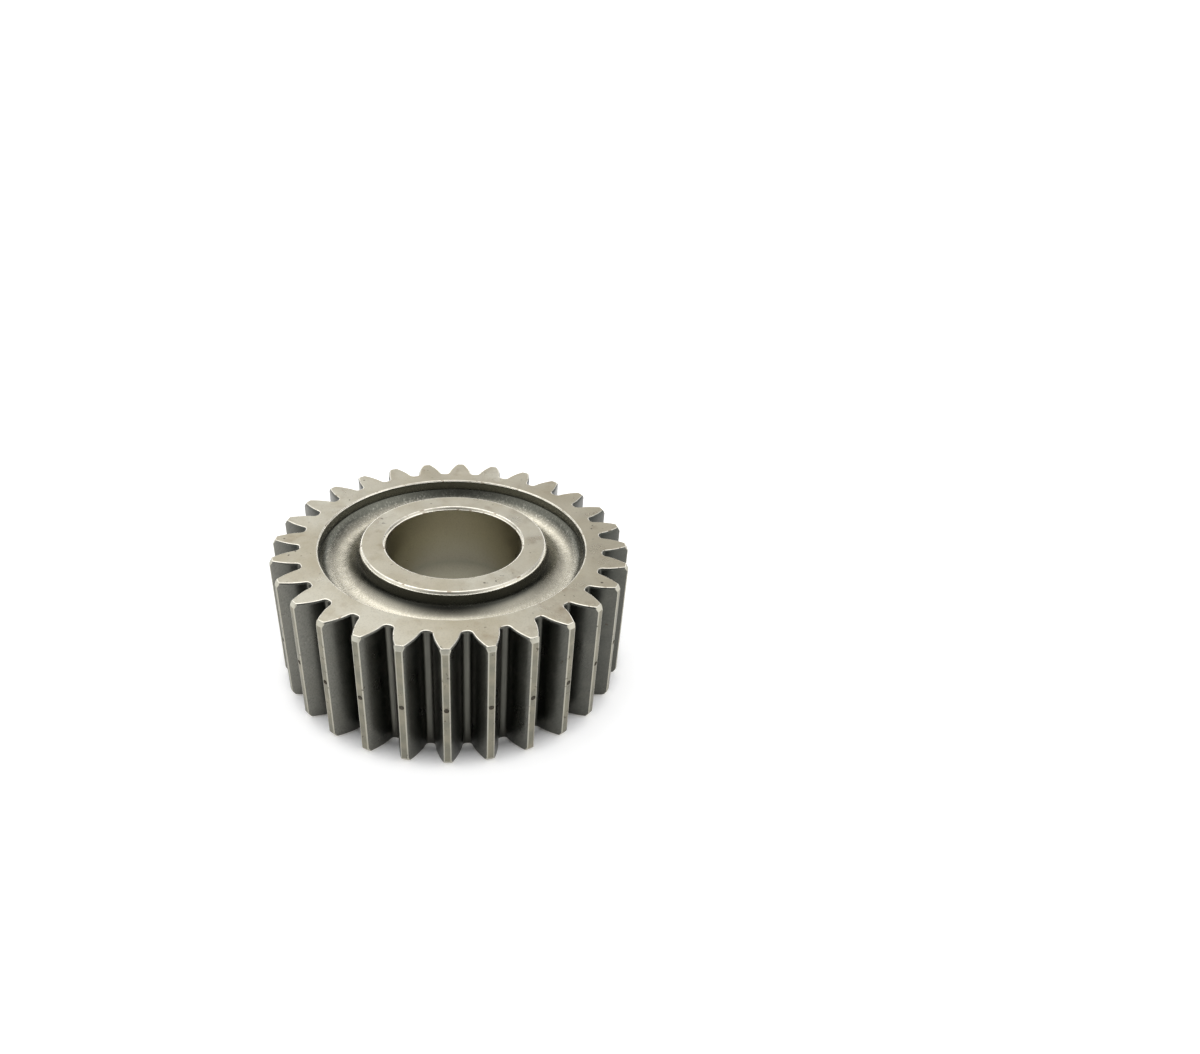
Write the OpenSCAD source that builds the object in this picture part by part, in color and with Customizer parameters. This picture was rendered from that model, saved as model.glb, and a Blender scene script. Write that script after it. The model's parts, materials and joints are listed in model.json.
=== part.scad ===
// Spur planet gear of a heavy reduction drive, cut from one steel forging.
// The axis is +Z and the gear stands on its lower hub face at z = 0. One tooth points along +X.

/* [Teeth] */
// Number of teeth
teeth = 28; // [26:1:36]
// Module, the pitch diameter over the number of teeth
tooth_module = 5; // [4.5:0.25:6]
// Pressure angle of the involute flanks, in degrees
pressure_angle = 25; // [20:0.5:26]
// Height of a tooth above the pitch circle, in modules
addendum = 1; // [0.8:0.05:1.05]
// Depth of a tooth space below the pitch circle, in modules
dedendum = 1.25; // [1.1:0.05:1.35]
// Radius of the fillet at the foot of a flank
root_fillet = 1.4; // [0.8:0.1:1.7]
// Radial size of the cone turned on the tooth tips at each end
tip_chamfer = 1.3; // [0.5:0.1:2]
// Length of that cone along the axis
tip_chamfer_len = 2.1; // [1:0.1:4]
// Edge break along flanks and roots at each end
edge_break = 0.6; // [0.3:0.1:0.8]
// Diameter of the round dimple in the middle of each tip land
dimple_d = 2.1; // [1:0.1:2.4]
// Depth of that dimple
dimple_depth = 0.5; // [0.2:0.1:1]

/* [Rim and hub] */
// Width of the toothed rim
rim_w = 57; // [40:1:80]
// Height of each hub face above the rim face
hub_proud = 0.5; // [0.2:0.1:2]
// Diameter of the bore, the outer race of the needle bearing
bore_d = 57; // [50:0.5:60]
// Wall of the hub between bore and recess
hub_wall = 11; // [8:0.5:13]
// Wall of the rim below the tooth roots
rim_wall = 7.75; // [6:0.25:10]
// Chamfer at each end of the bore
bore_chamfer = 1; // [0.4:0.1:2]
// Chamfer on the outer edge of each hub face
hub_chamfer = 1; // [0.4:0.1:2]

/* [Recess] */
// Depth of the straight turned wall below the rim face
recess_wall = 4.5; // [2:0.25:8]
// Width of the ledge between the turned wall and the forged floor
recess_ledge = 0.4; // [0.2:0.1:1]
// Half angle of the arc that forms the floor, in degrees
floor_sweep = 67.5; // [40:2.5:80]
// Chamfer on the rim's edge round the recess
recess_chamfer = 0.4; // [0.2:0.1:1]

/* [Hidden] */
$fn = 96;
steel = [0.73, 0.72, 0.68];

// Facets of one flank and of one root fillet
flank_steps = 7;
fillet_steps = 5;
// Distance by which a cutter runs past the surface it cuts
overrun = 0.3;
// Largest root fillet that the space holds, in modules
fillet_limit = 0.36;

pitch_r = teeth * tooth_module / 2;
base_r = pitch_r * cos(pressure_angle);
tip_r = pitch_r + addendum * tooth_module;
root_r = pitch_r - dedendum * tooth_module;
cutter_r = tip_r + overrun;
dimple_r = (pow(dimple_d / 2, 2) + pow(dimple_depth, 2)) / (2 * dimple_depth);

bore_r = bore_d / 2;
hub_r = bore_r + hub_wall;
hub_w = rim_w + 2 * hub_proud;
recess_r = root_r - rim_wall;

// The floor's arc spans from the hub wall to the ledge, and its ends lie at the foot of the turned wall.
floor_half = (recess_r - recess_ledge - hub_r) / 2;
floor_arc_r = floor_half / sin(floor_sweep);
floor_centre_up = floor_arc_r * cos(floor_sweep);

// Angles are measured in degrees from the middle of a tooth space.
half_pitch = 180 / teeth;
fillet_r = min(root_fillet, fillet_limit * tooth_module);
fillet_centre_r = root_r + fillet_r;
// Length of the base circle's tangent from its touching point to the fillet's centre
fillet_string = sqrt(max(0, pow(fillet_centre_r, 2) - pow(base_r, 2)));
fillet_on_involute = fillet_string > fillet_r;
flank_foot_r = fillet_on_involute
    ? sqrt(pow(base_r, 2) + pow(fillet_string - fillet_r, 2))
    : sqrt(pow(fillet_centre_r, 2) - pow(fillet_r, 2));
fillet_centre_angle = fillet_on_involute
    ? space_angle(fillet_centre_r) - in_degrees(fillet_r / base_r)
    : space_angle(base_r) - asin(fillet_r / fillet_centre_r);

function in_degrees(radians) = radians * 180 / PI;
function involute(angle) = in_degrees(tan(angle)) - angle;
function polar(r, angle) = r * [cos(angle), sin(angle)];
function flank_tilt(r) = acos(min(1, base_r / r));

// Half angle of the tooth space at radius r
function space_angle(r) = half_pitch / 2 - involute(pressure_angle) + involute(flank_tilt(r));

// Point of a flank, moved into the tooth by grow along the flank's normal
function flank_point(r, grow) =
    polar(r, space_angle(r)) + polar(grow, space_angle(r) + 90 + flank_tilt(r));

// One side of a tooth space from outside the tips to the root, widened by grow
function space_side(grow) =
    let (
        from = space_angle(flank_foot_r) + 90 + flank_tilt(flank_foot_r),
        to = 180 + fillet_centre_angle
    )
    [
        for (i = [0:flank_steps])
            flank_point(cutter_r + (flank_foot_r - cutter_r) * i / flank_steps, grow),
        for (i = [1:fillet_steps])
            polar(fillet_centre_r, fillet_centre_angle)
                + polar(fillet_r + grow, from + (to - from) * i / fillet_steps)
    ];

// Closed outline of a tooth space on the +X axis, widened by grow
function space_outline(grow) =
    let (side = space_side(grow), last = len(side) - 1)
    [
        [cutter_r / cos(half_pitch), 0],
        for (point = side) point,
        for (i = [last:-1:0]) [side[i].x, -side[i].y]
    ];

module at_each_tooth() {
    for (i = [0:teeth - 1])
        rotate(2 * i * half_pitch)
            children();
}

// Cutter for one tooth space, flared at both ends to break the edges of its flanks and root
module space_cutter() {
    stations = [
        [hub_proud - overrun, edge_break + overrun],
        [hub_proud + edge_break, 0],
        [hub_proud + rim_w - edge_break, 0],
        [hub_proud + rim_w + overrun, edge_break + overrun]
    ];
    count = len(space_outline(0));
    last = (len(stations) - 1) * count;
    polyhedron(
        points = [
            for (station = stations, point = space_outline(station[1]))
                [point.x, point.y, station[0]]
        ],
        faces = [
            [for (i = [0:count - 1]) i],
            [for (i = [count - 1:-1:0]) last + i],
            for (ring = [0:count:last - count], i = [0:count - 1])
                [(i + 1) % count, i, count + i, count + (i + 1) % count] + ring * [1, 1, 1, 1]
        ]
    );
}

// Ball that leaves the dimple in the tip land of the tooth on the +X axis
module tip_dimple() {
    translate([tip_r + dimple_r - dimple_depth, 0, hub_w / 2])
        sphere(dimple_r);
}

module hub_section() {
    polygon([
        [bore_r, bore_chamfer],
        [bore_r + bore_chamfer, 0],
        [hub_r - hub_chamfer, 0],
        [hub_r, hub_chamfer],
        [hub_r, hub_w - hub_chamfer],
        [hub_r - hub_chamfer, hub_w],
        [bore_r + bore_chamfer, hub_w],
        [bore_r, hub_w - bore_chamfer]
    ]);
}

module rim_section() {
    translate([0, hub_proud])
        polygon([
            [recess_r, recess_chamfer],
            [recess_r + recess_chamfer, 0],
            [tip_r - tip_chamfer, 0],
            [tip_r, tip_chamfer_len],
            [tip_r, rim_w - tip_chamfer_len],
            [tip_r - tip_chamfer, rim_w],
            [recess_r + recess_chamfer, rim_w],
            [recess_r, rim_w - recess_chamfer]
        ]);
}

// Web between hub and rim, with a floor of one arc on each side
module web_section() {
    foot = hub_proud + recess_wall;
    difference() {
        translate([hub_r - hub_wall / 2, foot])
            square([recess_r - hub_r + hub_wall / 2 + rim_wall / 2, hub_w - 2 * foot]);
        for (z = [foot - floor_centre_up, hub_w - foot + floor_centre_up])
            translate([hub_r + floor_half, z])
                circle(floor_arc_r);
    }
}

module gear() {
    color(steel)
        difference() {
            rotate_extrude() {
                hub_section();
                web_section();
                rim_section();
            }
            at_each_tooth()
                rotate(half_pitch)
                    space_cutter();
            at_each_tooth()
                tip_dimple();
        }
}

gear();
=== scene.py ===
"""A steel planet gear on a white studio floor, laid out as a Blender add-on and run as a script."""
import json
import math

import bpy
from bpy.props import FloatProperty, FloatVectorProperty, IntProperty, PointerProperty
from mathutils import Matrix, Vector


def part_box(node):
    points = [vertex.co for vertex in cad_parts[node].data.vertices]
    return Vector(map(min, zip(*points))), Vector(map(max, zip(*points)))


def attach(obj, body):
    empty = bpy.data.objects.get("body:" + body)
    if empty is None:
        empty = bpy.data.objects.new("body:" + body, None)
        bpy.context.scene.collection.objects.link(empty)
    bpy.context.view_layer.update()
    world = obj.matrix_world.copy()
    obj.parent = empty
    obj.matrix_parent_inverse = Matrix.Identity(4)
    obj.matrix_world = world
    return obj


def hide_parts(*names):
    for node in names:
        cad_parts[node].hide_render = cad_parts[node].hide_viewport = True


bl_info = {
    "name": "Planet gear",
    "version": (1, 0, 0),
    "blender": (4, 5, 0),
    "location": "View3D > Sidebar > Gear",
    "description": "Builds a worn steel planet gear and the studio it lies in",
    "category": "Object",
}

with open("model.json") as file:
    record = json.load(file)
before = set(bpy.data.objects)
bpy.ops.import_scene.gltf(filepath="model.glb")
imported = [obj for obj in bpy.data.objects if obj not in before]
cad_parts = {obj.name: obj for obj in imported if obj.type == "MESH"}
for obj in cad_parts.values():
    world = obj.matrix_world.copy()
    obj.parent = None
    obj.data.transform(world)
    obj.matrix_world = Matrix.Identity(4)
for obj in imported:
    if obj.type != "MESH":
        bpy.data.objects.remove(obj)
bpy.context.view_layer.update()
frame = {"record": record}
MM = 0.001

NODE = "gear"
CAD_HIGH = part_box(NODE)[1]
BORE = next(mount for mount in frame["record"]["mounts"] if mount["name"] == "bore")

# Zones of the surface, each with a material of its own
FACE, FLANK, ROOT, LAND, CORNER, CHAMFER, EDGE, RECESS, BORE_WALL, DIMPLE = range(10)
# Name of each zone, its least and most roughness, the features of that roughness a metre, and
# its relief in millimetres
ZONES = (
    ("ground_face", 0.24, 0.4, 70, 0.03),
    ("tooth_flank", 0.24, 0.4, 80, 0.02),
    ("tooth_root", 0.3, 0.46, 90, 0.02),
    ("tip_land", 0.34, 0.5, 120, 0.05),
    ("tip_corner", 0.34, 0.5, 120, 0.05),
    ("turned_chamfer", 0.15, 0.26, 110, 0.01),
    ("worn_edge_and_highlight", 0.2, 0.34, 150, 0.02),
    ("forged_recess", 0.22, 0.3, 200, 0.1),
    ("bore_wall", 0.27, 0.31, 40, 0.006),
    ("tip_dimple", 0.5, 0.7, 300, 0.05),
)
ZONE_NAMES = tuple(name for name, *_ in ZONES)
# Rows on the teeth, where the zone depends on the place across the tooth as well
SIDE_ROW, CONE_ROW = "side", "cone"

# Noises of the finishes: features a metre, detail and seed
STAINS = (30, 5.0, 1.0)
CLOUDS = (150, 4.0, 2.0)
FACE_GRAIN = (1500, 2.0, 3.0)
FACE_SPECKS = (420, 1.0, 4.0)
GRINDING_MARKS = (1900, 2.0, 5.0)
FLANK_SPECKS = (420, 2.0, 6.0)
LAND_PATCHES = (160, 4.0, 7.0)
LAND_PITS = (620, 3.0, 8.0)
RECESS_CLOUDS = (90, 4.0, 9.0)
RECESS_GRIT = (1500, 3.0, 10.0)
BORE_CLOUDS = (40, 4.0, 12.0)
HONING = (1800, 2.0, 13.0)
EDGE_WEAR = (240, 4.0, 14.0)
EDGE_CHIPS = (300, 2.0, 15.0)
DIMPLE_DIRT = (900, 3.0, 16.0)
ROOT_STREAKS = (900, 3.0, 17.0)
CHAMFER_CLOUDS = (200, 4.0, 18.0)
CHAMFER_GRAIN = (1400, 2.0, 19.0)
RUST_SPOTS = (110, 5.0, 20.0)
FLANK_PATCHES = (140, 4.0, 21.0)
# Detail and seed of the noise for the roughness, and the range that it is read over
ROUGHNESS_NOISE = (4.0, 11.0)
ROUGHNESS_RANGE = (0.3, 0.7)
# How strong the finer detail of every noise is
NOISE_ROUGHNESS = 0.55
# Noises of the shape: features a metre and detail, and the range that each is read over
LUMPS, LUMP_RANGE = (230, 4.0), (0.25, 0.75)
NICKS, NICK_RANGE = (330, 2.0), (0.64, 0.76)

# Turn and stretch of the grinding marks on the flanks, and stretch of the streaks in the roots
MARK_TURN, MARK_STRETCH = (0.5, 0.5, 0.0), (1.0, 1.0, 9.0)
STREAK_STRETCH = (1.0, 1.0, 0.04)
# Share of painted shade that darkens flanks and roots towards +X
SIDE_SHADE_SHARE = 0.6
# Range of X over which painted shade darkens the faces
SIDE_SHADE_FROM, SIDE_SHADE_TO = 25 * MM, 60 * MM
# Distances from the hub between which the recess floor lightens and grows rough
HUB_SHADE = (1 * MM, 5 * MM)
GRIT_START = (2 * MM, 6 * MM)
# Distances from the rim between which the floor darkens, and the depth in which the walls pass
# into it
RIM_SHADE = (5.5 * MM, 2 * MM)
WALL_FADE = 0.5 * MM

# Steps of the tooth outline, from the middle of the tip land to the middle of the space
LAND_STEPS, CORNER_STEPS, FLANK_STEPS, FILLET_STEPS, ROOT_STEPS = 2, 2, 6, 3, 1
# Steps along the section, from the middle of the teeth over one face to the middle of the bore
DIMPLE_ROWS, SIDE_ROWS, FACE_ROWS, FLOOR_ROWS, HUB_ROWS, BORE_ROWS = 4, 2, 3, 13, 2, 2
# Height of the land's patch round a dimple, in dimple diameters, and the rings inside the dimple
PATCH_HEIGHT = 1.5
DIMPLE_RINGS = (1.0, 0.72, 0.4)
MERGE_DISTANCE = 2e-6
# Distance from a worn edge to the row that keeps the surface beside it flat, in lengths of wear
SUPPORT = 1.7
# Most wear of a chamfer's edges, as a share of its width
MOST_WEAR = 1 / 3
# Share of the nicks' depth on the rows beside a worn edge and on it
BESIDE_EDGE, ON_EDGE = 0.5, 1.0
# Edges that bend by more than this stay sharp.
SHARP_ANGLE = math.radians(34)
# Steps of the floor's sweep, and sides of the round floor
SWEEP_STEPS, SWEEP_SIDES = 12, 96
FLOOR_ROUGHNESS = 0.9
# Ring of the floor that adds no white, its half width, and where the far floor starts to add
# more, all in tip radii
SHADE_RADIUS, SHADE_WIDTH, FAR_RADIUS = 0.88, 0.16, 2
LIGHT_SIDES = ("back", "left", "right", "top")
# Camera sensor in millimetres, and its nearest and farthest sight in metres
SENSOR_WIDTH = 36.0
CLIP_START, CLIP_END = 0.01, 200.0
# Numbers of the sockets of a Mix node for colours, and of a Compare node for whole numbers
MIX_A, MIX_B, MIX_RESULT = 6, 7, 2
COMPARE_A, COMPARE_B = 2, 3


def length(name, description, default_mm):
    """A length property in metres, with its default given in millimetres."""
    return FloatProperty(
        name=name, description=description, default=default_mm * MM, unit="LENGTH", precision=5
    )


def number(name, description, default):
    """A plain number property."""
    return FloatProperty(name=name, description=description, default=default)


def angle(name, description, default_degrees):
    """An angle property in radians, with its default given in degrees."""
    return FloatProperty(
        name=name, description=description, default=math.radians(default_degrees), subtype="ANGLE"
    )


def colour(name, description, default):
    """A linear colour property."""
    return FloatVectorProperty(
        name=name, description=description, default=default,
        size=3, subtype="COLOR", min=0.0, max=1.0,
    )


class GearSizes(bpy.types.PropertyGroup):
    """Sizes of the gear. Those that the frame holds are read from it."""

    teeth: IntProperty(name="Teeth", description="Number of teeth", default=28, min=8)
    pressure_angle: angle("Pressure angle", "Of the involute flanks", 25)
    tip_radius: length("Tip radius", "Half of the width over the tips", CAD_HIGH[0] / MM)
    hub_width: length("Hub width", "From one hub face to the other", CAD_HIGH[2] / MM)
    bore_radius: length("Bore radius", "Of the ground bore", BORE["dims"]["r_mm"])
    dedendum: number("Dedendum", "Depth below the pitch circle, in modules", 1.25)
    root_fillet: length("Root fillet", "Radius at the foot of a flank", 1.4)
    tip_corner: length("Tip corner", "Worn corner between tip land and flank", 0.28)
    tip_chamfer: length("Tip chamfer", "Radial size of the cone on the tips", 1.3)
    tip_chamfer_length: length("Tip chamfer length", "Length of that cone along the axis", 2.1)
    edge_break: length("Edge break", "Along flanks and roots at each end", 0.6)
    edge_wear: length("Edge wear", "Rounding of the edges at the ends of the teeth", 0.16)
    chamfer_wear: length("Chamfer wear", "Rounding of the edges of turned chamfers", 0.3)
    dimple_diameter: length("Dimple diameter", "Round dimple in each tip land", 2.1)
    dimple_depth: length("Dimple depth", "Depth of that dimple", 0.5)
    hub_proud: length("Hub proud", "Height of each hub face above the rim", 0.5)
    hub_wall: length("Hub wall", "Between bore and recess", 11)
    rim_wall: length("Rim wall", "Below the tooth roots", 7.75)
    bore_chamfer: length("Bore chamfer", "At each end of the bore", 1)
    hub_chamfer: length("Hub chamfer", "On the outer edge of each hub face", 1)
    recess_chamfer: length("Recess chamfer", "On the rim's edge round the recess", 0.4)
    recess_wall: length("Recess wall", "Depth of the straight turned wall", 4.5)
    recess_ledge: length("Recess ledge", "Between the turned wall and the forged floor", 0.4)
    floor_sweep: angle("Floor sweep", "Half angle of the floor's arc", 67.5)
    forged_depth: length("Forged depth", "Unevenness of the forged floor", 0.08)
    nick_depth: length("Nick depth", "Depth of the nicks on worn edges", 0.14)
    seed: IntProperty(name="Seed", description="Of the nicks and of the forged floor", default=4)


class GearFinish(bpy.types.PropertyGroup):
    """Colours of the steel, zone by zone."""

    face: colour("Ground face", "Rim and hub faces", (0.56, 0.532, 0.442))
    # Also the colour of the painted shade on the faces towards +X
    stain: colour("Stain", "Brownish stains on the faces", (0.43, 0.385, 0.285))
    rust: colour("Rust", "Faint rust spots on the faces", (0.27, 0.205, 0.135))
    # Flank, root and tip land colours are dark copies of the steel, painted with the shade these
    # faces see
    flank: colour("Flank", "Flanks near the tips", (0.185, 0.182, 0.16))
    # Painted shade at the foot of the flanks; also the tone of grinding marks and root streaks
    flank_shade_and_marks: colour("Flank foot", "Flanks near the roots", (0.042, 0.044, 0.039))
    root: colour("Root", "Bottom of the tooth spaces", (0.137, 0.133, 0.113))
    land: colour("Tip land", "Turned tip lands", (0.196, 0.189, 0.151))
    corner: colour("Tip corner", "Tip cones and worn corners of the lands", (0.42, 0.41, 0.35))
    chamfer: colour("Chamfer", "Turned chamfers", (0.5, 0.474, 0.396))
    # Partly the colour of worn steel, partly a painted highlight; also painted glints in the recess
    # floor
    edge: colour("Worn edge", "Bright worn edges", (0.86, 0.83, 0.735))
    recess: colour("Recess floor", "Forged floor of the recess", (0.6, 0.562, 0.458))
    # Painted shade of the recess walls and of the floor by the rim; also the bore's painted shade
    # and a darker tone
    wall: colour("Recess wall", "Walls of the recess", (0.108, 0.109, 0.091))
    # Painted shade at the foot of the hub, on the hub wall and the floor beside it
    hub_foot_shade: colour("Hub foot", "Forged floor at the foot of the hub", (0.05, 0.05, 0.042))
    bore: colour("Bore", "Ground bore with a film of oil", (0.63, 0.588, 0.45))
    pit: colour("Pit", "Pits, specks and dimples", (0.06, 0.05, 0.038))


class StudioSettings(bpy.types.PropertyGroup):
    """Floor, light and camera."""

    floor: colour("Floor", "Pale floor and sweep", (0.85, 0.85, 0.85))
    floor_glow: number("Floor glow", "White that the floor adds round the gear", 0.42)
    floor_radius: length("Floor radius", "Flat part of the floor", 3500)
    sweep_radius: length("Sweep radius", "Of the rounded rise behind the floor", 2000)
    ambient: number("Ambient", "Light from all round", 0.153)
    back: number("Back light", "Light from above the back", 0.95)
    back_focus: number("Back focus", "How narrow the back light is", 5.0)
    back_azimuth: angle("Back azimuth", "Place of the back light, from +X", 109.3)
    back_elevation: angle("Back elevation", "Height of the back light", 54.4)
    left: number("Left light", "Light from the left", 1.45)
    left_focus: number("Left focus", "How narrow the left light is", 7.0)
    left_azimuth: angle("Left azimuth", "Place of the left light, from +X", 191.1)
    left_elevation: angle("Left elevation", "Height of the left light", 35.9)
    right: number("Right light", "Light from the right", 1.8)
    right_focus: number("Right focus", "How narrow the right light is", 6.5)
    right_azimuth: angle("Right azimuth", "Place of the right light, from +X", -16.2)
    right_elevation: angle("Right elevation", "Height of the right light", 32.6)
    top: number("Top light", "Light from the ceiling", 0.9)
    top_focus: number("Top focus", "How narrow the top light is", 16.0)
    top_azimuth: angle("Top azimuth", "Place of the top light, from +X", 100)
    top_elevation: angle("Top elevation", "Height of the top light", 82)
    lamp: number("Lamp", "Strength of the soft lamp in the back light", 0.2)
    lamp_spread: angle("Lamp spread", "Angle that the soft lamp fills", 44)
    lens: number("Lens", "Focal length on a 36 mm sensor", 25.59)
    azimuth: angle("Azimuth", "Turn of the view about the gear's axis", -7.1003)
    elevation: angle("Elevation", "Of the view", 34.051)
    roll: angle("Roll", "Of the camera about its axis", 4.786)
    distance: length("Distance", "From the camera to the aimed point", 341.24)
    aim_right: length("Aim right", "Aimed point, right of the gear's axis as seen", 54.4)
    aim_near: length("Aim near", "Aimed point, nearer than the gear's axis", 27.12)
    aim_up: length("Aim up", "Aimed point above the floor", 57.5)
    shift_right: number("Shift right", "Of the frame, in frame widths", 0.018)
    shift_up: number("Shift up", "Of the frame, in frame widths", 0.0503)


def polar(radius, turn):
    """Point of the XY plane."""
    return Vector((radius * math.cos(turn), radius * math.sin(turn)))


def involute(turn):
    """Involute function of a pressure angle."""
    return math.tan(turn) - turn


def steps(start, end, count):
    """Values from start to end in count equal steps, without start."""
    return [start + (end - start) * i / count for i in range(1, count + 1)]


class ToothForm:
    """Outline of one tooth on the +X axis, worked out from the gear's sizes."""

    def __init__(self, sizes):
        self.half_pitch = math.pi / sizes.teeth
        module = sizes.tip_radius / (sizes.teeth / 2 + 1)
        pitch_radius = module * sizes.teeth / 2
        self.base_radius = pitch_radius * math.cos(sizes.pressure_angle)
        self.root_radius = pitch_radius - sizes.dedendum * module
        self.pressure_angle = sizes.pressure_angle
        self.fillet = sizes.root_fillet
        self.corner = sizes.tip_corner
        self.fillet_centre = self.root_radius + self.fillet
        self.string = math.sqrt(self.fillet_centre**2 - self.base_radius**2)
        self.fillet_angle = self.space_angle(self.fillet_centre) - self.fillet / self.base_radius

    def tilt(self, radius):
        """Angle between a flank and the radius."""
        return math.acos(min(1.0, self.base_radius / radius))

    def space_angle(self, radius):
        """Half angle of the tooth space at a radius."""
        return self.half_pitch / 2 - involute(self.pressure_angle) + involute(self.tilt(radius))

    def flank_angle(self, radius, grow):
        """Half angle of the tooth at a radius, with the space widened along the flank's normal."""
        return self.half_pitch - self.space_angle(radius) - grow / self.base_radius

    def half_outline(self, tip, grow):
        """Points from the middle of the land to the middle of the space, widened by grow."""
        land_end = self.flank_angle(tip, grow) - self.corner / tip
        land = [polar(tip, 0.0)] + [polar(tip, turn) for turn in steps(0.0, land_end, LAND_STEPS)]
        shoulder = tip - self.corner
        sharp = polar(tip, self.flank_angle(tip, grow))
        flank_start = polar(shoulder, self.flank_angle(shoulder, grow))
        # Middle of the curve that rounds the corner, and its end
        corner = [(land[-1] + sharp * 2 + flank_start) / 4, flank_start]
        foot = math.hypot(self.base_radius, self.string - self.fillet - grow)
        flank = [polar(r, self.flank_angle(r, grow)) for r in steps(shoulder, foot, FLANK_STEPS)]
        centre = polar(self.fillet_centre, self.half_pitch - self.fillet_angle)
        start = self.space_angle(foot) + grow / self.base_radius + math.pi / 2 + self.tilt(foot)
        turns = steps(start, math.pi + self.fillet_angle, FILLET_STEPS)
        fillet = [centre + polar(self.fillet + grow, self.half_pitch - turn) for turn in turns]
        root_turns = steps(self.half_pitch - self.fillet_angle, self.half_pitch, ROOT_STEPS)
        root = [polar(self.root_radius - grow, turn) for turn in root_turns]
        return land + corner + flank + fillet + root

    def outline(self, tip, grow):
        """Points of a whole pitch, from space middle to space middle."""
        half = self.half_outline(tip, grow)
        return [Vector((p.x, -p.y)) for p in reversed(half[1:])] + half


class GearSection:
    """Rows of the gear's surface. Each row is a ring round the axis, cut to one tooth pitch."""

    def __init__(self, sizes):
        self.sizes = sizes
        self.form = ToothForm(sizes)
        self.middle = sizes.hub_width / 2
        self.face = sizes.hub_width - sizes.hub_proud
        self.hub_radius = sizes.bore_radius + sizes.hub_wall
        self.recess_radius = self.form.root_radius - sizes.rim_wall
        self.columns = len(self.form.outline(sizes.tip_radius, 0.0))
        self.rows, self.zones, self.edges, self.forged = [], [], [], []
        self.add_teeth()
        self.add_rim_face()
        self.add_recess()
        self.add_hub()
        self.add_lower_half()

    def add(self, points, zone, edge=0.0, forged=0.0):
        """Add a row. zone is that of the faces from this row to the next."""
        self.rows.append(points)
        self.zones.append(zone)
        self.edges.append(edge)
        self.forged.append(forged)

    def outline_row(self, height, grow=0.0, worn=0.0):
        """Tooth outline at a height, with the tip radius of land or cone, less some wear."""
        sizes = self.sizes
        up_cone = max(0.0, height - self.face + sizes.tip_chamfer_length) / sizes.tip_chamfer_length
        tip = sizes.tip_radius - sizes.tip_chamfer * up_cone - worn
        return [Vector((p.x, p.y, height)) for p in self.form.outline(tip, grow)]

    def ring_row(self, radius, height):
        """Arc of a circle about the axis."""
        half = self.form.half_pitch
        turns = [-half] + steps(-half, half, self.columns - 1)
        return [polar(radius, turn).to_3d() + Vector((0, 0, height)) for turn in turns]

    def add_chamfer(self, before, start, end, after, zone):
        """Rows of a turned chamfer from start to end, with edges worn round between it and the
        surfaces that reach to before and after. zone is that of the surface after it."""
        before, start, end, after = Vector(before), Vector(start), Vector(end), Vector(after)
        worn = min(self.sizes.chamfer_wear, (end - start).length * MOST_WEAR)
        down = (start - before).normalized() * worn
        self.add(self.ring_row(*(start - down * SUPPORT)), self.zones[-1])
        sides = ((before, start, end, CHAMFER), (start, end, after, zone))
        for last, corner, following, next_zone in sides:
            into = (corner - last).normalized() * worn
            out = (following - corner).normalized() * worn
            self.add(self.ring_row(*(corner - into)), EDGE)
            # Middle of the curve that rounds the edge
            self.add(self.ring_row(*(corner + (out - into) / 4)), EDGE)
            self.add(self.ring_row(*(corner + out)), next_zone)
        self.add(self.ring_row(*(end + out * SUPPORT)), zone)

    def add_teeth(self):
        """Rows up the teeth, from their middle over the tip cone to the broken edge."""
        sizes = self.sizes
        worn, broken = sizes.edge_wear, sizes.edge_break
        patch_top = self.middle + PATCH_HEIGHT * sizes.dimple_diameter / 2
        cone_start = self.face - sizes.tip_chamfer_length
        heights = [self.middle] + steps(self.middle, patch_top, DIMPLE_ROWS)
        for height in heights + steps(patch_top, cone_start - worn, SIDE_ROWS):
            self.add(self.outline_row(height), SIDE_ROW)
        for height in (cone_start + worn, cone_start + worn * 2 * SUPPORT):
            self.add(self.outline_row(height), CONE_ROW)
        self.add(self.outline_row(self.face - broken - worn), CONE_ROW, BESIDE_EDGE)
        self.add(self.outline_row(self.face - broken + worn, worn), CONE_ROW, ON_EDGE)
        self.add(self.outline_row(self.face - worn, broken - worn), EDGE, ON_EDGE)
        self.add(self.outline_row(self.face, broken + worn, worn), FACE, BESIDE_EDGE)
        self.add(self.outline_row(self.face, broken + worn * SUPPORT, worn * SUPPORT), FACE)

    def add_rim_face(self):
        """Rows across the rim face, from the tooth outline to the recess."""
        outer = self.rows[-1]
        inner = self.ring_row(self.recess_radius + self.sizes.recess_chamfer, self.face)
        for share in steps(0.0, 1.0, FACE_ROWS)[:-1]:
            self.add([a.lerp(b, share) for a, b in zip(outer, inner)], FACE)

    def add_recess(self):
        """Rows down the turned wall and across the forged floor to the hub."""
        sizes = self.sizes
        top, foot = self.face - sizes.recess_chamfer, self.face - sizes.recess_wall
        edge, wall = self.recess_radius + sizes.recess_chamfer, self.recess_radius
        self.add_chamfer(
            (edge + sizes.rim_wall, self.face), (edge, self.face), (wall, top), (wall, foot), RECESS
        )
        self.add(self.ring_row(wall, foot), RECESS)
        half = (self.recess_radius - sizes.recess_ledge - self.hub_radius) / 2
        arc = half / math.sin(sizes.floor_sweep)
        centre_height = foot + arc * math.cos(sizes.floor_sweep)
        for turn in [sizes.floor_sweep] + steps(sizes.floor_sweep, -sizes.floor_sweep, FLOOR_ROWS):
            radius = self.hub_radius + half + arc * math.sin(turn)
            height = centre_height - arc * math.cos(turn)
            forged = math.cos(turn / sizes.floor_sweep * math.pi / 2)
            self.add(self.ring_row(radius, height), RECESS, forged=forged)

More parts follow.
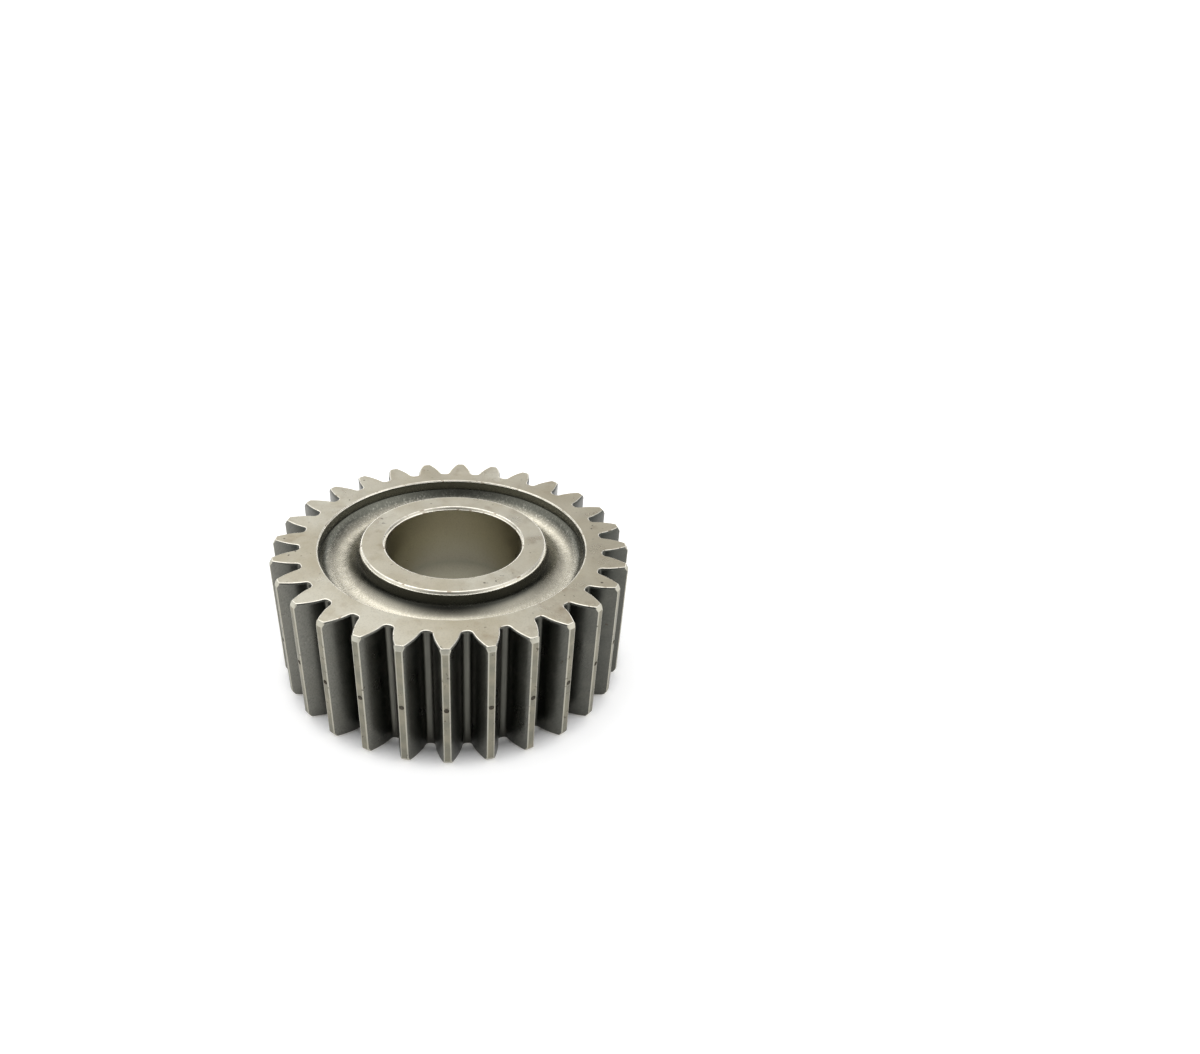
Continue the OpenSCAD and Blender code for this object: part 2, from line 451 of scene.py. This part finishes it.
    def add_hub(self):
        """Rows up the hub wall, across the hub face and down to the middle of the bore."""
        sizes = self.sizes
        top, foot = sizes.hub_width, self.face - sizes.recess_wall
        outer, inner = self.hub_radius - sizes.hub_chamfer, sizes.bore_radius + sizes.bore_chamfer
        self.add_chamfer(
            (self.hub_radius, foot), (self.hub_radius, top - sizes.hub_chamfer),
            (outer, top), (inner, top), FACE,
        )
        for radius in steps(outer, inner, HUB_ROWS)[:-1]:
            self.add(self.ring_row(radius, top), FACE)
        start = top - sizes.bore_chamfer
        self.add_chamfer(
            (outer, top), (inner, top),
            (sizes.bore_radius, start), (sizes.bore_radius, self.middle), BORE_WALL,
        )
        for height in steps(start, self.middle, BORE_ROWS):
            self.add(self.ring_row(sizes.bore_radius, height), BORE_WALL)

    def add_lower_half(self):
        """Mirror the rows to the lower face, so that the section closes on itself."""
        flip = Matrix.Translation((0, 0, 2 * self.middle)) @ Matrix.Diagonal((1, 1, -1, 1))
        for i in range(len(self.rows) - 2, 0, -1):
            row = [flip @ point for point in self.rows[i]]
            self.add(row, self.zones[i - 1], self.edges[i], self.forged[i])
        self.zones[len(self.rows) // 2] = BORE_WALL


class ToothSector:
    """Mesh of one tooth pitch of the gear, with a dimple in its tip land."""

    def __init__(self, sizes):
        self.sizes = sizes
        self.section = GearSection(sizes)
        self.points, self.edges, self.forged = [], [], []
        self.faces, self.zones = [], []
        self.centre = self.section.columns // 2
        self.add_grid()
        self.add_dimple()

    def steps_from_centre(self, column):
        """Number of whole steps between a strip of faces and the middle of the tooth."""
        return column - self.centre if column >= self.centre else self.centre - 1 - column

    def zone(self, row, column):
        """Zone of the face between a row and the next, and a column and the next."""
        kind = self.section.zones[row]
        if kind not in (SIDE_ROW, CONE_ROW):
            return kind
        place = self.steps_from_centre(column)
        if place < LAND_STEPS and kind == SIDE_ROW:
            return LAND
        if place < LAND_STEPS + CORNER_STEPS:
            return CORNER
        flank_end = LAND_STEPS + CORNER_STEPS + FLANK_STEPS + FILLET_STEPS // 2
        return FLANK if place < flank_end else ROOT

    def add_point(self, point, edge=0.0, forged=0.0):
        """Add a point and give its number."""
        self.points.append(point)
        self.edges.append(edge)
        self.forged.append(forged)
        return len(self.points) - 1

    def in_patch(self, row, column):
        """True inside the part of the land that the dimple takes."""
        rows = len(self.section.rows)
        near = min(row, rows - row)
        return near < DIMPLE_ROWS and abs(column - self.centre) < LAND_STEPS

    def add_grid(self):
        """All faces but those of the dimple's patch."""
        section = self.section
        count = len(section.rows)
        self.grid = {}
        for i, row in enumerate(section.rows):
            for j, point in enumerate(row):
                if not self.in_patch(i, j):
                    self.grid[i, j] = self.add_point(point, section.edges[i], section.forged[i])
        for i in range(count):
            for j in range(section.columns - 1):
                below, above = i, (i + 1) % count
                ring = [(below, j), (below, j + 1), (above, j + 1), (above, j)]
                if any(self.in_patch(*place) for place in ring):
                    continue
                self.faces.append([self.grid[place] for place in ring])
                self.zones.append(self.zone(i, j))

    def add_dimple(self):
        """Rings from the rim of the patch to the bottom of the dimple."""
        sizes, middle = self.sizes, self.section.middle
        count = len(self.section.rows)
        low, high = self.centre - LAND_STEPS, self.centre + LAND_STEPS
        rim = [
            (row % count, column)
            for row in range(-DIMPLE_ROWS, DIMPLE_ROWS + 1)
            for column in range(low, high + 1)
            if abs(row) == DIMPLE_ROWS or column in (low, high)
        ]
        rim = [self.grid[place] for place in rim]
        turns = {i: math.atan2(self.points[i].z - middle, self.points[i].y) for i in rim}
        ring = sorted(rim, key=turns.get)
        turns = [turns[i] for i in ring]
        for place, share in enumerate(DIMPLE_RINGS):
            radius = share * sizes.dimple_diameter / 2
            inner = [self.add_point(self.dimple_point(radius, turn)) for turn in turns]
            for a in range(len(ring)):
                b = (a + 1) % len(ring)
                self.faces.append([ring[a], ring[b], inner[b], inner[a]])
                self.zones.append(DIMPLE if place else LAND)
            ring = inner
        bottom = self.add_point(self.dimple_point(0.0, 0.0))
        for a in range(len(ring)):
            self.faces.append([ring[a], ring[(a + 1) % len(ring)], bottom])
            self.zones.append(DIMPLE)

    def dimple_point(self, radius, turn):
        """Point of the dimple at a distance from its middle."""
        sizes = self.sizes
        across, up = polar(radius, turn)
        depth = sizes.dimple_depth * (1 - (2 * radius / sizes.dimple_diameter) ** 2)
        land = math.sqrt(sizes.tip_radius**2 - across**2)
        return Vector((land - depth, across, self.section.middle + up))

    def mesh(self, name):
        """The sector as a mesh with its zones and wear as attributes."""
        mesh = bpy.data.meshes.new(name)
        mesh.from_pydata(self.points, [], self.faces)
        for attribute, kind, domain, values in (
            ("zone", "INT", "FACE", self.zones),
            ("edge", "FLOAT", "POINT", self.edges),
            ("forged", "FLOAT", "POINT", self.forged),
        ):
            mesh.attributes.new(attribute, kind, domain).data.foreach_set("value", values)
        return mesh


def put(tree, kind, inputs=None, **settings):
    """Add a node. inputs gives a constant or another node's output by socket name or number."""
    node = tree.nodes.new(kind)
    for name, value in settings.items():
        setattr(node, name, value)
    for key, value in (inputs or {}).items():
        if isinstance(value, bpy.types.NodeSocket):
            tree.links.new(value, node.inputs[key])
        else:
            node.inputs[key].default_value = value
    return node


def calculate(tree, operation, *values):
    """Output of a Math node."""
    return put(tree, "ShaderNodeMath", dict(enumerate(values)), operation=operation).outputs[0]


def spread(tree, value, low, high, to_low=0.0, to_high=1.0):
    """Output of a Map Range node that is clamped to its ends."""
    inputs = {
        "Value": value, "From Min": low, "From Max": high, "To Min": to_low, "To Max": to_high,
    }
    return put(tree, "ShaderNodeMapRange", inputs).outputs[0]


def noise(tree, place, scale, detail, seed):
    """Output of a noise about 0.5. scale is in features a metre."""
    inputs = {
        "Vector": place, "W": seed, "Scale": scale, "Detail": detail, "Roughness": NOISE_ROUGHNESS,
    }
    return put(tree, "ShaderNodeTexNoise", inputs, noise_dimensions="4D").outputs[0]


class Steel:
    """Shader tree of one zone's steel, with places read from Object coordinates."""

    def __init__(self, zone):
        name, rough_low, rough_high, rough_scale, relief_mm = ZONES[zone]
        self.relief = relief_mm * MM
        self.material = bpy.data.materials.new(name)
        self.material.use_nodes = True
        self.tree = self.material.node_tree
        self.shader = self.tree.nodes["Principled BSDF"]
        self.shader.inputs["Metallic"].default_value = 1.0
        self.place = put(self.tree, "ShaderNodeTexCoord").outputs["Object"]
        level = self.noise((rough_scale, *ROUGHNESS_NOISE))
        rough = self.spread(level, *ROUGHNESS_RANGE, rough_low, rough_high)
        self.tree.links.new(rough, self.shader.inputs["Roughness"])

    def noise(self, kind, place=None):
        """Noise of a kind in this finish's own place, or in another."""
        return noise(self.tree, place or self.place, *kind)

    def spread(self, *values):
        """Map Range in this finish's tree."""
        return spread(self.tree, *values)

    def times(self, a, b):
        """Product of two values."""
        return calculate(self.tree, "MULTIPLY", a, b)

    def mix(self, share, a, b):
        """Mix of two colours, each a property or an output."""
        inputs = {0: share}
        for key, value in ((MIX_A, a), (MIX_B, b)):
            inputs[key] = value if isinstance(value, bpy.types.NodeSocket) else (*value, 1.0)
        return put(self.tree, "ShaderNodeMix", inputs, data_type="RGBA").outputs[MIX_RESULT]

    def layers(self, base, *layers):
        """Base colour with others laid over it in turn, each by its share."""
        for share, over in layers:
            base = self.mix(share, base, over)
        return base

    def parts(self):
        """Separate X, Y and Z of a place."""
        return put(self.tree, "ShaderNodeSeparateXYZ", {0: self.place}).outputs

    def radius(self):
        """Distance from the gear's axis."""
        x, y, _ = self.parts()
        squares = calculate(self.tree, "ADD", self.times(x, x), self.times(y, y))
        return calculate(self.tree, "SQRT", squares)

    def rolled_place(self, around):
        """Place in which a noise has the same grain at every depth: the direction from the axis
        times a length, and the radius."""
        x, y, _ = self.parts()
        radius = self.radius()
        turned = [calculate(self.tree, "DIVIDE", part, radius) for part in (x, y)]
        inputs = dict(enumerate([*(self.times(part, around) for part in turned), radius]))
        return put(self.tree, "ShaderNodeCombineXYZ", inputs).outputs[0]

    def stretched_place(self, scale, turn=(0.0, 0.0, 0.0), **settings):
        """Place for a noise that is drawn out along the axes."""
        inputs = {"Vector": self.place, "Scale": scale, "Rotation": turn}
        return put(self.tree, "ShaderNodeMapping", inputs, **settings).outputs[0]

    def painted_side_shade(self, sizes):
        """Share of painted shade that grows towards the gear's +X side."""
        tip = sizes.tip_radius
        return self.spread(self.parts()[0], -tip, tip, 0.0, SIDE_SHADE_SHARE)

    def away(self, sizes):
        """Height above or below the middle of the gear."""
        offset = calculate(self.tree, "SUBTRACT", self.parts()[2], sizes.hub_width / 2)
        return calculate(self.tree, "ABSOLUTE", offset)

    def finish(self, tone, height):
        """Connect the colour, and a bump with the zone's relief."""
        inputs = {"Strength": 1.0, "Distance": self.relief, "Height": height}
        bump = put(self.tree, "ShaderNodeBump", inputs)
        self.tree.links.new(tone, self.shader.inputs["Base Color"])
        self.tree.links.new(bump.outputs[0], self.shader.inputs["Normal"])
        return self.material


def ground_face_steel(finish, zone):
    """Rim and hub faces: pale, with brownish stains, rust spots, a few dark specks, painted shade
    at +X.
    """
    steel = Steel(zone)
    grain = steel.noise(FACE_GRAIN)
    tone = steel.layers(
        finish.face,
        (steel.spread(steel.noise(STAINS), 0.4, 0.66), finish.stain),
        (steel.spread(steel.noise(CLOUDS), 0.48, 0.72, 0.0, 0.75), finish.stain),
        # Painted shade: the faces darken towards +X in the stain colour
        (steel.spread(steel.parts()[0], SIDE_SHADE_FROM, SIDE_SHADE_TO, 0.0, 0.7), finish.stain),
        (steel.spread(steel.noise(RUST_SPOTS), 0.56, 0.74, 0.0, 0.6), finish.rust),
        (steel.spread(grain, 0.5, 0.8, 0.0, 0.3), finish.flank),
        (steel.spread(steel.noise(FACE_SPECKS), 0.7, 0.76, 0.0, 0.85), finish.pit),
    )
    return steel.finish(tone, grain)


def tooth_flank_steel(finish, zone, sizes):
    """Ground flanks with fine slanting grinding marks and dark specks, and painted shade to the
    foot.
    """
    steel = Steel(zone)
    root_radius = ToothForm(sizes).root_radius
    slant = steel.stretched_place(MARK_STRETCH, turn=MARK_TURN, vector_type="TEXTURE")
    marks = steel.noise(GRINDING_MARKS, slant)
    tone = steel.layers(
        finish.flank_shade_and_marks,
        # Painted shade: the flanks darken from the tips down to the roots
        (steel.spread(steel.radius(), root_radius, sizes.tip_radius), finish.flank),
        # Painted shade towards +X
        (steel.painted_side_shade(sizes), finish.flank_shade_and_marks),
        (steel.spread(marks, 0.4, 0.72, 0.0, 0.35), finish.flank_shade_and_marks),
        (steel.spread(steel.noise(FLANK_PATCHES), 0.5, 0.75, 0.0, 0.5), finish.root),
        (steel.spread(steel.noise(FLANK_SPECKS), 0.7, 0.76, 0.0, 0.8), finish.pit),
    )
    return steel.finish(tone, marks)


def tooth_root_steel(finish, zone, sizes):
    """Roots: dark with painted shade, lighter than the foot of the flanks, with streaks along the
    teeth.
    """
    steel = Steel(zone)
    streaks = steel.noise(ROOT_STREAKS, steel.stretched_place(STREAK_STRETCH))
    tone = steel.layers(
        finish.root,
        (steel.spread(streaks, 0.4, 0.75, 0.0, 0.6), finish.flank_shade_and_marks),
        # Painted shade towards +X
        (steel.painted_side_shade(sizes), finish.flank_shade_and_marks),
    )
    return steel.finish(tone, streaks)


def tip_land_steel(finish, zone, base):
    """Turned tip lands, cones and corners: warm grey and pitted; the lands' darker base is painted
    shade.
    """
    steel = Steel(zone)
    pits = steel.noise(LAND_PITS)
    tone = steel.layers(
        base,
        (steel.spread(steel.noise(LAND_PATCHES), 0.4, 0.75, 0.0, 0.4), finish.stain),
        (steel.spread(pits, 0.62, 0.69, 0.0, 0.75), finish.pit),
    )
    return steel.finish(tone, pits)


def turned_chamfer_steel(finish, zone):
    """Turned chamfers: smooth, and a little duller than the faces."""
    steel = Steel(zone)
    grain = steel.noise(CHAMFER_GRAIN)
    tone = steel.layers(
        finish.chamfer,
        (steel.spread(steel.noise(CHAMFER_CLOUDS), 0.45, 0.7, 0.0, 0.25), finish.land),
        (steel.spread(grain, 0.62, 0.8, 0.0, 0.15), finish.land),
    )
    return steel.finish(tone, grain)


def worn_edge_steel(finish, zone):
    """Worn edges: bright as worn steel and as a painted highlight, with dull and dark chips
    between.
    """
    steel = Steel(zone)
    chips = steel.noise(EDGE_CHIPS)
    tone = steel.layers(
        finish.edge,
        (steel.spread(steel.noise(EDGE_WEAR), 0.46, 0.7, 0.0, 0.8), finish.chamfer),
        (steel.spread(chips, 0.61, 0.67, 0.0, 0.8), finish.rust),
    )
    return steel.finish(tone, chips)


def forged_recess_steel(finish, zone, sizes):
    """Recess: walls dark with painted shade that pass into a pale, finely grained floor."""
    steel = Steel(zone)
    radius = steel.radius()
    hub_radius = sizes.bore_radius + sizes.hub_wall
    rim_radius = ToothForm(sizes).root_radius - sizes.rim_wall
    rim_face = sizes.hub_width / 2 - sizes.hub_proud
    depth = calculate(steel.tree, "SUBTRACT", rim_face, steel.away(sizes))
    # Painted shade: the walls are dark, darkest at the hub
    walls = steel.mix(steel.spread(radius, hub_radius, rim_radius), finish.hub_foot_shade, finish.wall)
    # Painted shade on the floor at the foot of the hub and by the rim
    floor = steel.layers(
        finish.hub_foot_shade,
        (steel.spread(radius, *(hub_radius + far for far in HUB_SHADE)), finish.recess),
        (steel.spread(radius, *(rim_radius - far for far in RIM_SHADE)), finish.wall),
    )
    grit = steel.noise(RECESS_GRIT, steel.rolled_place(hub_radius))
    rough = steel.times(
        steel.spread(depth, sizes.recess_wall, 2 * sizes.recess_wall),
        steel.spread(radius, *(hub_radius + far for far in GRIT_START)),
    )
    tone = steel.layers(
        walls,
        (steel.spread(depth, sizes.recess_wall, sizes.recess_wall + WALL_FADE), floor),
        (steel.spread(steel.noise(RECESS_CLOUDS), 0.45, 0.75, 0.0, 0.2), finish.wall),
        (steel.times(rough, steel.spread(grit, 0.48, 0.3, 0.0, 0.22)), finish.wall),
        # Painted glints: bright specks in the grit of the floor
        (steel.times(rough, steel.spread(grit, 0.52, 0.7, 0.0, 0.5)), finish.edge),
    )
    return steel.finish(tone, steel.times(rough, grit))


def bore_wall_steel(finish, zone, sizes):
    """Ground bore: smooth, with a film of oil, and painted shade that darkens it towards the
    middle.
    """
    steel = Steel(zone)
    honing = steel.noise(HONING)
    tone = steel.layers(
        finish.bore,
        # Painted shade: darker towards the middle of the bore's length, deep in the hole
        (steel.spread(steel.away(sizes), sizes.hub_width / 2, 0.0, 0.0, 0.75), finish.wall),
        (steel.spread(steel.noise(BORE_CLOUDS), 0.35, 0.7, 0.0, 0.05), finish.wall),
        (steel.spread(honing, 0.45, 0.8, 0.0, 0.2), finish.pit),
    )
    return steel.finish(tone, honing)


def tip_dimple_steel(finish, zone):
    """Dimples: dark with dirt."""
    steel = Steel(zone)
    dirt = steel.noise(DIMPLE_DIRT)
    tone = steel.mix(steel.spread(dirt, 0.4, 0.75, 0.0, 0.6), finish.pit, finish.root)
    return steel.finish(tone, dirt)


def steel_finishes(sizes, finish):
    """One material for each zone."""
    recipes = {
        FACE: (ground_face_steel,),
        FLANK: (tooth_flank_steel, sizes),
        ROOT: (tooth_root_steel, sizes),
        LAND: (tip_land_steel, finish.land),
        CORNER: (tip_land_steel, finish.corner),
        CHAMFER: (turned_chamfer_steel,),
        EDGE: (worn_edge_steel,),
        RECESS: (forged_recess_steel, sizes),
        BORE_WALL: (bore_wall_steel, sizes),
        DIMPLE: (tip_dimple_steel,),
    }
    return {
        ZONE_NAMES[zone]: recipe(finish, zone, *more) for zone, (recipe, *more) in recipes.items()
    }


def attribute(tree, name, kind):
    """Output of a named attribute."""
    return put(tree, "GeometryNodeInputNamedAttribute", {"Name": name}, data_type=kind).outputs[0]


def tooth_ring_tree():
    """Geometry Nodes tree that repeats a sector round the axis, wears it and sets its materials."""
    tree = bpy.data.node_groups.new("tooth_ring", "GeometryNodeTree")
    sockets = [("Sector", "Geometry"), ("Teeth", "Int"), ("Forged depth", "Float"),
               ("Nick depth", "Float"), ("Seed", "Int")]
    sockets += [(name, "Material") for name in ZONE_NAMES]
    for name, kind in sockets:
        tree.interface.new_socket(name, in_out="INPUT", socket_type=f"NodeSocket{kind}")
    tree.interface.new_socket("Gear", in_out="OUTPUT", socket_type="NodeSocketGeometry")
    given = put(tree, "NodeGroupInput").outputs

    pitch = calculate(tree, "DIVIDE", math.tau, given["Teeth"])
    turn = calculate(tree, "MULTIPLY", put(tree, "GeometryNodeInputIndex").outputs[0], pitch)
    euler = put(tree, "ShaderNodeCombineXYZ", {"Z": turn}).outputs[0]
    rotation = put(tree, "FunctionNodeEulerToRotation", {0: euler}).outputs[0]
    points = put(tree, "GeometryNodePoints", {"Count": given["Teeth"]}).outputs[0]
    ring = put(tree, "GeometryNodeInstanceOnPoints",
               {"Points": points, "Instance": given["Sector"], "Rotation": rotation}).outputs[0]
    ring = put(tree, "GeometryNodeRealizeInstances", {0: ring}).outputs[0]
    ring = put(tree, "GeometryNodeMergeByDistance",
               {"Geometry": ring, "Distance": MERGE_DISTANCE}).outputs[0]

    place = put(tree, "GeometryNodeInputPosition").outputs[0]
    lumps = spread(tree, noise(tree, place, *LUMPS, given["Seed"]), *LUMP_RANGE, -1.0, 1.0)
    nicks = spread(tree, noise(tree, place, *NICKS, given["Seed"]), *NICK_RANGE, 0.0, -1.0)
    heights = []
    for wear, depth, where in ((lumps, "Forged depth", "forged"), (nicks, "Nick depth", "edge")):
        wear = calculate(tree, "MULTIPLY", wear, given[depth])
        heights.append(calculate(tree, "MULTIPLY", wear, attribute(tree, where, "FLOAT")))
    normal = put(tree, "GeometryNodeInputNormal").outputs[0]
    height = calculate(tree, "ADD", *heights)
    offset = put(tree, "ShaderNodeVectorMath", {0: normal, "Scale": height},
                 operation="SCALE").outputs[0]
    ring = put(tree, "GeometryNodeSetPosition", {"Geometry": ring, "Offset": offset}).outputs[0]

    zone = attribute(tree, "zone", "INT")
    for index, name in enumerate(ZONE_NAMES):
        here = put(tree, "FunctionNodeCompare", {COMPARE_A: zone, COMPARE_B: index},
                   data_type="INT", operation="EQUAL").outputs[0]
        ring = put(tree, "GeometryNodeSetMaterial",
                   {"Geometry": ring, "Selection": here, "Material": given[name]}).outputs[0]
    put(tree, "NodeGroupOutput", {0: ring})
    return tree


def set_inputs(modifier, values):
    """Set a Geometry Nodes modifier's inputs by their sockets' identifiers."""
    for item in modifier.node_group.interface.items_tree:
        if item.in_out == "INPUT" and item.name in values:
            modifier[item.identifier] = values[item.name]


class GEAR_OT_body(bpy.types.Operator):
    """Build the gear from one tooth sector that Geometry Nodes repeat round the axis"""

    bl_idname = "gear.body"
    bl_label = "Build gear"

    def execute(self, context):
        scene = context.scene
        sizes, finish = scene.gear_sizes, scene.gear_finish
        gear = bpy.data.objects.new("gear_body", ToothSector(sizes).mesh("tooth_sector"))
        scene.collection.objects.link(gear)
        modifier = gear.modifiers.new("tooth_ring", "NODES")
        modifier.node_group = tooth_ring_tree()
        values = {"Teeth": sizes.teeth, "Forged depth": sizes.forged_depth,
                  "Nick depth": sizes.nick_depth, "Seed": sizes.seed}
        values.update(steel_finishes(sizes, finish))
        set_inputs(modifier, values)
        graph = context.evaluated_depsgraph_get()
        mesh = bpy.data.meshes.new_from_object(gear.evaluated_get(graph), depsgraph=graph)
        gear.modifiers.clear()
        sector, gear.data = gear.data, mesh
        bpy.data.meshes.remove(sector)
        if len(mesh.polygons) < sizes.teeth:
            raise RuntimeError("the tooth ring came out empty")
        mesh.shade_smooth()
        mesh.set_sharp_from_angle(angle=SHARP_ANGLE)
        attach(gear, "root")
        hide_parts(NODE)
        return {"FINISHED"}


class GEAR_OT_studio(bpy.types.Operator):
    """Set up the pale floor, the soft light and the camera"""

    bl_idname = "gear.studio"
    bl_label = "Set up studio"

    def execute(self, context):
        studio = context.scene.gear_studio
        context.scene.view_settings.view_transform = "Standard"
        self.add_floor(context.scene, studio)
        self.set_world(context.scene, studio)
        self.add_lamp(context.scene, studio)
        self.add_camera(context.scene, studio)
        return {"FINISHED"}

    def add_floor(self, scene, studio):
        """Round pale floor whose rim sweeps up behind it."""
        rise = studio.sweep_radius
        profile = [(studio.floor_radius, 0.0)]
        for turn in steps(0.0, math.pi / 2, SWEEP_STEPS):
            out, up = rise * math.sin(turn), rise * (1 - math.cos(turn))
            profile.append((studio.floor_radius + out, up))
        points = [polar(radius, turn).to_3d() + Vector((0, 0, height))
                  for radius, height in profile for turn in steps(0.0, math.tau, SWEEP_SIDES)]
        faces = [list(range(SWEEP_SIDES))]
        for ring in range(SWEEP_STEPS):
            for a in range(SWEEP_SIDES):
                b = (a + 1) % SWEEP_SIDES
                low, high = ring * SWEEP_SIDES, (ring + 1) * SWEEP_SIDES
                faces.append([low + b, low + a, high + a, high + b])
        mesh = bpy.data.meshes.new("floor")
        mesh.from_pydata(points, [], faces)
        mesh.shade_smooth()
        mesh.materials.append(self.floor_material(studio))
        floor = bpy.data.objects.new("floor", mesh)
        scene.collection.objects.link(floor)

    def floor_material(self, studio):
        """Pale floor that adds white to what is seen of it, and keeps the gear's shadow."""
        material = bpy.data.materials.new("pale_floor")
        material.use_nodes = True
        tree = material.node_tree
        shader = tree.nodes["Principled BSDF"]
        shader.inputs["Base Color"].default_value = (*studio.floor, 1.0)
        shader.inputs["Roughness"].default_value = FLOOR_ROUGHNESS
        shader.inputs["Specular IOR Level"].default_value = 0.0
        shader.inputs["Emission Color"].default_value = (1.0, 1.0, 1.0, 1.0)
        ray = put(tree, "ShaderNodeLightPath").outputs
        thrown = calculate(tree, "MAXIMUM", ray["Is Glossy Ray"], ray["Is Transmission Ray"])
        seen = calculate(tree, "MAXIMUM", ray["Is Camera Ray"], thrown)
        place = put(tree, "ShaderNodeTexCoord").outputs["Object"]
        away = put(tree, "ShaderNodeVectorMath", {0: place}, operation="LENGTH").outputs["Value"]
        tip = CAD_HIGH[0]
        beside = calculate(tree, "ABSOLUTE", calculate(tree, "SUBTRACT", away, tip * SHADE_RADIUS))
        glow = studio.floor_glow
        white = calculate(
            tree, "ADD",
            spread(tree, beside, 0.0, tip * SHADE_WIDTH, 0.0, glow),
            spread(tree, away, tip * FAR_RADIUS, studio.floor_radius, 0.0, 1.0 - glow),
        )
        tree.links.new(calculate(tree, "MULTIPLY", seen, white), shader.inputs["Emission Strength"])
        return material

    def toward(self, studio, side):
        """Direction to one of the lights."""
        azimuth = getattr(studio, side + "_azimuth")
        elevation = getattr(studio, side + "_elevation")
        return polar(math.cos(elevation), azimuth).to_3d() + Vector((0, 0, math.sin(elevation)))

    def set_world(self, scene, studio):
        """Soft light from all round that grows towards the back, left, right and top lights."""
        scene.world = scene.world or bpy.data.worlds.new("studio")
        scene.world.use_nodes = True
        tree = scene.world.node_tree
        direction = put(tree, "ShaderNodeTexCoord").outputs["Generated"]
        level = studio.ambient
        for side in LIGHT_SIDES:
            near = put(tree, "ShaderNodeVectorMath", {0: direction, 1: self.toward(studio, side)},
                       operation="DOT_PRODUCT").outputs["Value"]
            focus = getattr(studio, side + "_focus")
            fall = calculate(tree, "EXPONENT", calculate(tree, "MULTIPLY_ADD", near, focus, -focus))
            level = calculate(tree, "MULTIPLY_ADD", fall, getattr(studio, side), level)
        background = tree.nodes["Background"]
        background.inputs["Color"].default_value = (1.0, 1.0, 1.0, 1.0)
        tree.links.new(level, background.inputs["Strength"])

    def add_lamp(self, scene, studio):
        """Wide soft lamp in the back light."""
        light = bpy.data.lights.new("soft_lamp", "SUN")
        light.energy = studio.lamp
        light.angle = studio.lamp_spread
        lamp = bpy.data.objects.new("soft_lamp", light)
        lamp.rotation_euler = self.toward(studio, "back").to_track_quat("Z", "Y").to_euler()
        scene.collection.objects.link(lamp)

    def add_camera(self, scene, studio):
        """Camera at the height, distance and turn from which the gear is seen."""
        data = bpy.data.cameras.new("camera")
        data.sensor_fit = "HORIZONTAL"
        data.sensor_width = SENSOR_WIDTH
        data.lens = studio.lens
        data.shift_x, data.shift_y = studio.shift_right, studio.shift_up
        data.clip_start, data.clip_end = CLIP_START, CLIP_END
        camera = bpy.data.objects.new("camera", data)
        camera.matrix_world = (
            Matrix.Rotation(studio.azimuth, 4, "Z")
            @ Matrix.Translation((studio.aim_right, -studio.aim_near, studio.aim_up))
            @ Matrix.Rotation(math.pi / 2 - studio.elevation, 4, "X")
            @ Matrix.Rotation(studio.roll, 4, "Z")
            @ Matrix.Translation((0, 0, studio.distance))
        )
        scene.collection.objects.link(camera)
        scene.camera = camera


class GEAR_PT_panel(bpy.types.Panel):
    """Sidebar panel that lists the gear's operators and settings"""

    bl_idname = "GEAR_PT_panel"
    bl_label = "Planet gear"
    bl_space_type = "VIEW_3D"
    bl_region_type = "UI"
    bl_category = "Gear"

    def draw(self, context):
        for operator in OPERATORS:
            self.layout.operator(operator.bl_idname)
        for group in ("gear_sizes", "gear_finish", "gear_studio"):
            settings = getattr(context.scene, group)
            box = self.layout.box()
            for name in settings.__annotations__:
                box.prop(settings, name)


OPERATORS = (GEAR_OT_studio, GEAR_OT_body)
GROUPS = {"gear_sizes": GearSizes, "gear_finish": GearFinish, "gear_studio": StudioSettings}
CLASSES = (*GROUPS.values(), *OPERATORS, GEAR_PT_panel)


def register():
    """Register the classes and put the settings on the scene."""
    for cls in CLASSES:
        bpy.utils.register_class(cls)
    for name, group in GROUPS.items():
        setattr(bpy.types.Scene, name, PointerProperty(type=group))


def unregister():
    """Take the settings off the scene and unregister the classes."""
    for name in GROUPS:
        delattr(bpy.types.Scene, name)
    for cls in reversed(CLASSES):
        bpy.utils.unregister_class(cls)


def main():
    register()
    bpy.ops.gear.studio()
    bpy.ops.gear.body()


if __name__ == "__main__":
    main()
